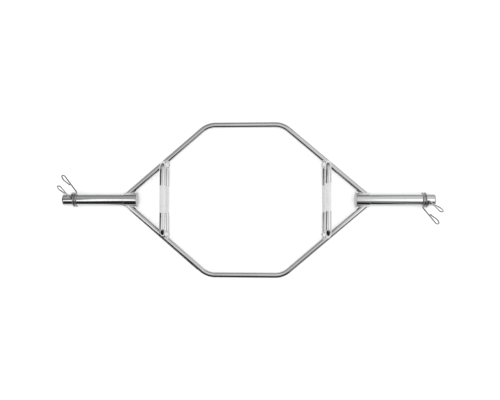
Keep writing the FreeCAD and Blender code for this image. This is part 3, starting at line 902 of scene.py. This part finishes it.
class TRAPBAR_OT_welds(Operator):
    """Lay the weld beads of the hubs and handles"""

    bl_idname = "trap_bar.welds"
    bl_label = "Weld beads"

    def mirrored(self, points, ways, side):
        """A seam and its mirror image at the front."""
        turns = (np.ones(3), np.array((1.0, -1.0, 1.0)))
        return [(placed(points * turn, side), turned_about(ways * turn, side)) for turn in turns]

    def execute(self, context):
        sizes = context.scene.trap_bar_sizes
        apex, slope = diagonal()
        end = handle_end()
        leg = end - sizes.leg_inset
        rod = sizes.rod_diameter / 2 + sizes.weld_stand
        hub = sizes.hub_radius + sizes.weld_stand
        around = np.linspace(0.0, math.tau, SEAM_POINTS, endpoint=False)
        across, up = np.cos(around), np.sin(around)
        zero = np.zeros_like(around)
        near = np.array((math.sin(slope), math.cos(slope), 0.0))
        way = np.array((-math.cos(slope), math.sin(slope), 0.0))
        start = np.array((apex, 0.0, 0.0))

        # round a diagonal, where it meets its hub
        y = np.sqrt(hub ** 2 - (rod * up) ** 2)
        along = (y - rod * across * math.cos(slope)) / math.sin(slope)
        radial = np.outer(across, near) + np.outer(up, (0, 0, 1))
        hub_points = start + np.outer(along, way) + rod * radial
        hub_ways = radial + np.column_stack((zero, y, rod * up)) / hub

        # round a low handle, where it meets its diagonal
        y = end - rod * (np.abs(across) + across * math.sin(slope)) / math.cos(slope)
        low_points = np.column_stack((sizes.handle_offset + rod * across, y, rod * up))
        low_ways = np.column_stack((across, zero, up))
        low_ways = low_ways + np.outer(-np.abs(across), near) + np.outer(up, (0, 0, 1))

        # round a leg of a raised handle, over the low handle and the diagonal under it
        x, y = sizes.handle_offset + rod * across, leg + rod * up
        beside = (x - apex) * math.sin(slope) + y * math.cos(slope)
        crest = np.sqrt(np.maximum(rod ** 2 - beside ** 2, 0.0))
        leg_points = np.column_stack((x, y, np.maximum(rod * np.abs(up), crest)))
        leg_ways = np.column_stack((across * 2, up, np.abs(up)))

        for number, side in enumerate(SIDES):
            for name, points, ways in (
                ("hub_welds", hub_points, hub_ways),
                ("low_handle_welds", low_points, low_ways),
                ("raised_handle_welds", leg_points, leg_ways),
            ):
                seams = self.mirrored(points, ways, side)
                piece = ripples(f"{side}_{name}_rippled", seams, "plated_weld", RIPPLE_SEED + number)
                fit(piece, "frame", "chromed_weld", f"{side}_{name}")
        return {"FINISHED"}


class TRAPBAR_OT_collars(Operator):
    """Wind the spring collars and bend their levers"""

    bl_idname = "trap_bar.collars"
    bl_label = "Spring collars"

    def coil(self, collar, radius, outer_end, roll):
        """Stations of a coil from its inner lever to its outer one: point, heading and way out of each."""
        sweep = collar.spread + COIL_TURNS * math.tau
        count = 2 * math.ceil(math.degrees(sweep) / (2 * COIL_STEP))
        rise = collar.coil_pitch / math.tau
        stations = []
        for part in np.arange(count + 1) / count:
            angle = roll - collar.spread / 2 + sweep * part
            outward = np.array((0.0, -math.cos(angle), math.sin(angle)))
            heading = np.array((rise, radius * math.sin(angle), radius * math.cos(angle)))
            spot = np.array((outer_end - rise * sweep * (1 - part), 0.0, 0.0)) + outward * radius
            stations.append((spot, heading / np.linalg.norm(heading), outward))
        return stations

    def lever(self, collar, radius, outer_end, start, heading, outward):
        """The route of a lever from the end of its coil up to its tip and back in a loop."""
        wire = collar.wire_diameter
        lean = outward * (collar.lever_reach - wire / 2 - radius)
        lean = lean + np.array((outer_end + collar.lever_overhang - start[0], 0.0, 0.0))
        lean = lean - heading * (lean @ heading)
        reach = np.linalg.norm(lean)
        route = Route(start, heading, lean / reach, wire / 2)
        route.bend(collar.lever_bend, math.pi / 2)
        aside = np.array((1.0, 0.0, 0.0)) - route.heading * route.heading[0]
        aside = aside / np.linalg.norm(aside)
        foot, route.left = route.point, aside
        route.run(reach - collar.lever_bend - collar.tip_bend)
        route.bend(collar.tip_bend, collar.tip_turn)
        route.bend(collar.back_bend, collar.back_turn)
        spare = (route.point - foot) @ aside - wire - collar.loop_gap
        route.run(spare / -(route.heading @ aside))
        route.blunt(wire * BLUNT_LENGTH)
        return route

    def execute(self, context):
        sizes = context.scene.trap_bar_sizes
        collar = context.scene.trap_bar_collar
        wire = collar.wire_diameter
        radius = sizes.sleeve_radius + collar.coil_clearance + wire / 2
        for side in SIDES:
            outer_end = SLEEVE_END - getattr(collar, f"{side}_inset")
            coil = self.coil(collar, radius, outer_end, getattr(collar, f"{side}_roll"))
            (first, first_heading, first_out), (last, last_heading, last_out) = coil[0], coil[-1]
            tail, nose = first - first_heading * wire, last + last_heading * wire
            points = [tail, *(point for point, _, _ in coil), nose]
            middle = len(points) // 2
            centre = placed(points[middle], side)
            halves = (("inner", points[:middle + 1], first), ("outer", points[middle:], last))
            for end, half, lever_end in halves:
                piece = round_bar(f"{side}_coil_{end}_half", placed(half, side), [wire / 2] * len(half),
                                  WIRE_SIDES, "spring_wire")
                placed(lever_end, side)
                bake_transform(piece)
                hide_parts(f"{side}_collar_coil")
            for end, start, heading, outward in (
                ("inner", tail, -first_heading, first_out),
                ("outer", nose, last_heading, last_out),
            ):
                route = self.lever(collar, radius, outer_end, start, heading, outward)
                piece = round_bar(f"{side}_{end}_lever_wire", placed(route.points, side), route.girths,
                                  WIRE_SIDES, "spring_wire")
                fit(piece, f"{side}_{end}_lever", "spring_wire_chrome", f"{side}_collar_{end}_lever")
        return {"FINISHED"}


class TRAPBAR_OT_studio(Operator):
    """Set up the camera, the pale floor and the soft light"""

    bl_idname = "trap_bar.studio"
    bl_label = "Studio"

    def seen(self, graph):
        """One for what the camera sees, also by way of metal and glass."""
        paths = [graph.add("ShaderNodeLightPath", None, None, f"Is {kind} Ray")
                 for kind in ("Camera", "Glossy", "Transmission")]
        return graph.add("ShaderNodeMath", {"operation": "ADD", "use_clamp": True},
                         {0: paths[0] + paths[1], 1: paths[2]})

    def world(self, scene, studio):
        """A white room that lights the floor a little less than it shows."""
        room = bpy.data.worlds.new("white_room")
        room.use_nodes = True
        scene.world = room
        graph = Graph(room.node_tree)
        level = studio.room_light + self.seen(graph) * (1.0 - studio.room_light)
        light = graph.add("ShaderNodeBackground", None, {"Color": (1.0, 1.0, 1.0, 1.0), "Strength": level})
        graph.add("ShaderNodeOutputWorld", None, {"Surface": light})

    def floor(self, studio):
        """A pale matt floor, lifted to white where it is seen, so that only the bar's shadow shows on it."""
        material, graph = new_finish("studio_floor")
        place = graph.add("ShaderNodeTexCoord", None, None, "Object")
        mottle = [part * FLOOR_MOTTLE for part in studio.floor]
        base = graph.blend(graph.noise(place, 3.0, 2.0), studio.floor, mottle)
        matt = graph.add("ShaderNodeBsdfDiffuse", None, {"Color": base})
        glow = graph.add("ShaderNodeEmission", None, {"Color": self.seen(graph) * studio.floor_glow})
        both = graph.add("ShaderNodeAddShader", None, {0: matt, 1: glow})
        graph.add("ShaderNodeOutputMaterial", None, {"Surface": both})
        square = np.array(((-1, -1, 0), (1, -1, 0), (1, 1, 0), (-1, 1, 0)))
        corners = square * FLOOR_REACH + (0, 0, FLOOR_LEVEL)
        mesh = bpy.data.meshes.new("studio_floor")
        mesh.from_pydata([tuple(corner) for corner in corners], [], [(0, 1, 2, 3)])
        mesh.materials.append(material)
        new_object("studio_floor", mesh)

    def band(self, graph, value, limits, soft):
        """One between two limits, with soft edges inside them."""
        low, high = limits
        return graph.ramp(value, low, low + soft) * graph.ramp(value, high - soft, high, 1.0, 0.0)

    def reflected(self, graph, material, mesh, tone):
        """Puts a glowing surface up that only shows in reflections."""
        glow = graph.add("ShaderNodeEmission", None, {"Color": tone})
        graph.add("ShaderNodeOutputMaterial", None, {"Surface": glow})
        mesh.materials.append(material)
        piece = new_object(mesh.name, mesh)
        piece.visible_camera = False
        piece.visible_diffuse = False
        piece.visible_shadow = False

    def dome(self, studio):
        """A dome round the bar for its reflections, white with soft grey and bright patches."""
        material, graph = new_finish("reflected_room")
        way = graph.add("ShaderNodeUVMap", {"uv_map": "way"})
        bearing = graph.add("ShaderNodeSeparateXYZ", None, {"Vector": way}, "X")
        height = graph.add("ShaderNodeSeparateXYZ", None, {"Vector": way}, "Y")
        level = 1.0
        for bearings, heights, grey, soft in REFLECTIONS:
            mask = self.band(graph, bearing, bearings, soft) * self.band(graph, height, heights, soft)
            level = level + mask * (grey - level)
        shell = bmesh.new()
        layer = shell.loops.layers.uv.new("way")
        grid = []
        for row in range(DOME_ROWS + 1):
            rise = 90.0 * row / DOME_ROWS
            line = []
            for column in range(DOME_COLUMNS + 1):
                turn = DOME_SEAM + 360.0 * column / DOME_COLUMNS
                flat = math.cos(math.radians(rise)) * studio.dome_radius
                spot = (math.cos(math.radians(turn)) * flat, math.sin(math.radians(turn)) * flat,
                        math.sin(math.radians(rise)) * studio.dome_radius)
                line.append((shell.verts.new(spot), (turn, rise)))
            grid.append(line)
        for lower, upper in zip(grid, grid[1:]):
            for column in range(DOME_COLUMNS):
                corners = (lower[column], upper[column], upper[column + 1], lower[column + 1])
                face = shell.faces.new([corner for corner, _ in corners])
                for loop, (_, angles) in zip(face.loops, corners):
                    loop[layer].uv = angles
        mesh = bpy.data.meshes.new("reflected_room")
        shell.to_mesh(mesh)
        shell.free()
        mesh.shade_smooth()
        self.reflected(graph, material, mesh, level)

    def card(self):
        """A dark card on the floor beside the left front diagonal, for its reflections."""
        material, graph = new_finish("dark_card")
        apex, slope = diagonal()
        along = np.array((math.cos(slope), -math.sin(slope), 0.0))
        beside = np.array((-math.sin(slope), -math.cos(slope), 0.0))
        start = np.array((-apex, 0.0, 0.0))
        corners = [tuple(start + along * run + beside * off) for run, off in CARD_CORNERS]
        mesh = bpy.data.meshes.new("dark_card")
        mesh.from_pydata(corners, [], [(0, 1, 2, 3)])
        self.reflected(graph, material, mesh, CARD_TONE)

    def lamp(self, scene, studio):
        """One wide soft lamp overhead that doesn't show in the plating."""
        light = bpy.data.lights.new("soft_lamp", "AREA")
        light.shape = "RECTANGLE"
        light.size, light.size_y = LAMP_SIZE
        light.energy = studio.lamp_power
        holder = bpy.data.objects.new("soft_lamp", light)
        holder.location = LAMP_PLACE
        holder.visible_glossy = False
        scene.collection.objects.link(holder)

    def camera(self, scene, studio):
        """The camera, almost straight above the bar."""
        eye = bpy.data.cameras.new("photo_camera")
        eye.sensor_width = SENSOR_WIDTH
        eye.sensor_fit = "HORIZONTAL"
        eye.lens = studio.lens
        eye.shift_x, eye.shift_y = studio.shift
        holder = bpy.data.objects.new("photo_camera", eye)
        holder.location = studio.camera_place
        holder.rotation_euler = studio.camera_turn
        scene.collection.objects.link(holder)
        bpy.context.scene.camera = holder

    def execute(self, context):
        scene = context.scene
        studio = scene.trap_bar_studio
        scene.view_settings.view_transform = "Standard"
        self.world(scene, studio)
        self.floor(studio)
        self.dome(studio)
        self.card()
        self.lamp(scene, studio)
        self.camera(scene, studio)
        return {"FINISHED"}


OPERATORS = (
    TRAPBAR_OT_frame_rods,
    TRAPBAR_OT_handles,
    TRAPBAR_OT_knurling,
    TRAPBAR_OT_sleeves,
    TRAPBAR_OT_welds,
    TRAPBAR_OT_collars,
    TRAPBAR_OT_studio,
)
SETTINGS = {
    "trap_bar_sizes": TRAPBAR_BarSizes,
    "trap_bar_collar": TRAPBAR_CollarSizes,
    "trap_bar_finish": TRAPBAR_Finish,
    "trap_bar_studio": TRAPBAR_Studio,
}


class TRAPBAR_PT_panel(Panel):
    """Lists the steps that build the bar and what they are built from"""

    bl_idname = "TRAPBAR_PT_panel"
    bl_label = "Hex trap bar"
    bl_space_type = "VIEW_3D"
    bl_region_type = "UI"
    bl_category = "Trap bar"

    def draw(self, context):
        for step in OPERATORS:
            self.layout.operator(step.bl_idname)
        for name in SETTINGS:
            group = getattr(context.scene, name)
            box = self.layout.box()
            for entry in group.__annotations__:
                box.prop(group, entry)


def register():
    for kind in (*SETTINGS.values(), *OPERATORS, TRAPBAR_PT_panel):
        bpy.utils.register_class(kind)
    for name, kind in SETTINGS.items():
        setattr(bpy.types.Scene, name, PointerProperty(type=kind))


def unregister():
    for name in SETTINGS:
        delattr(bpy.types.Scene, name)
    for kind in (TRAPBAR_PT_panel, *reversed(OPERATORS), *SETTINGS.values()):
        bpy.utils.unregister_class(kind)


def main():
    register()
    bpy.ops.trap_bar.studio()
    bpy.ops.trap_bar.frame_rods()
    bpy.ops.trap_bar.handles()
    bpy.ops.trap_bar.knurling()
    bpy.ops.trap_bar.sleeves()
    bpy.ops.trap_bar.welds()
    bpy.ops.trap_bar.collars()


if __name__ == "__main__":
    main()
